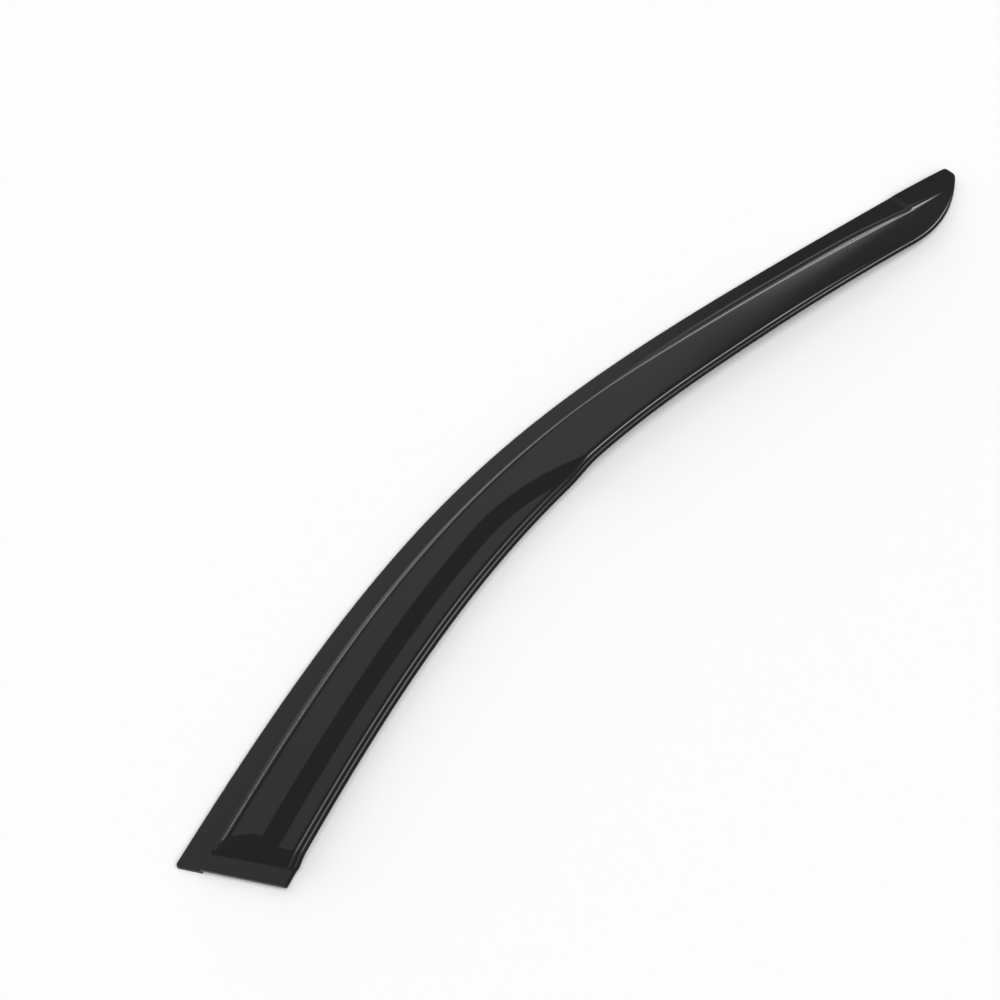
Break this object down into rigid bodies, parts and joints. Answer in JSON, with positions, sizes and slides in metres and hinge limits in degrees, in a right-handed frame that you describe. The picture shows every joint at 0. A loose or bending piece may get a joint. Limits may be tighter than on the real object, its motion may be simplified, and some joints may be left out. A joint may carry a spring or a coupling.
{
  "type": "window rain deflector",
  "caption": "Slim curved visor for a car side window: a flat strip tucks into the window channel, and a raised crown with a beaded lip sheds rain while the glass is lowered.",
  "frame": {"origin": "middle of the visor's box, on the plane of the flange strip's back", "axes": "+X along the chord from the squared end to the tip, +Y towards the flange strip, +Z out of the face"},
  "size_m": [0.9778, 0.1524, 0.0162],
  "materials": {
    "smoked_acrylic": "polished, dark smoke tint"
  },
  "bodies": {
    "root": {"visor": "smoked_acrylic"}
  },
  "joints": []
}
